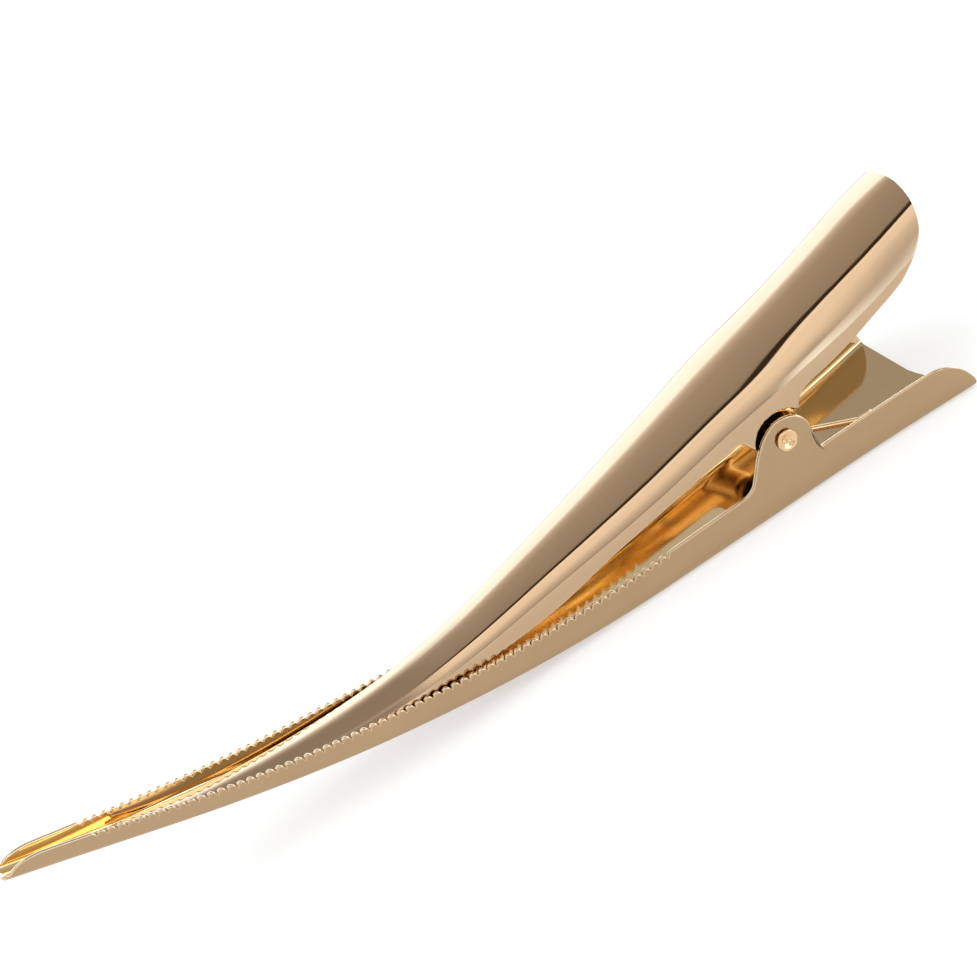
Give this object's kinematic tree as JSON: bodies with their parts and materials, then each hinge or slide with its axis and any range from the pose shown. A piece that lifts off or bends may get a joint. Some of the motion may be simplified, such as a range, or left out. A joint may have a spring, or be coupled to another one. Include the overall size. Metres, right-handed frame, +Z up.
{
  "type": "alligator hair clip",
  "caption": "Long curved alligator hair clip: two arched gold plated sheet steel jaws with a scalloped rim, held shut by a torsion spring on a hollow rivet.",
  "frame": {"origin": "on the straight underside of the lower jaw, at mid width, right below the rivet's axis", "axes": "+X toward the handles, -X toward the tip, Y along the rivet's axis, +Z up from the lower jaw to the upper jaw"},
  "size_m": [0.1295, 0.022, 0.0223],
  "materials": {
    "gold_lower": "polished light gold plating on sheet steel",
    "gold_upper": "polished light gold plating on sheet steel",
    "gold_rivet": "gold plated tubular rivet",
    "gold_spring": "gold plated spring wire"
  },
  "bodies": {
    "lower": {"lower_jaw": "gold_lower", "pivot_rivet": "gold_rivet", "torsion_spring": "gold_spring"},
    "upper": {"upper_jaw": "gold_upper"}
  },
  "joints": [
    {"name": "jaw_hinge", "type": "hinge", "parent": "lower", "child": "upper", "pos_m": [0, 0, 0.0079], "axis": [0, 1, 0], "range_deg": [0, 34], "stiffness_Nm_per_rad": 0.08, "springref_deg": -28.65, "deforming": ["torsion_spring"]}
  ]
}
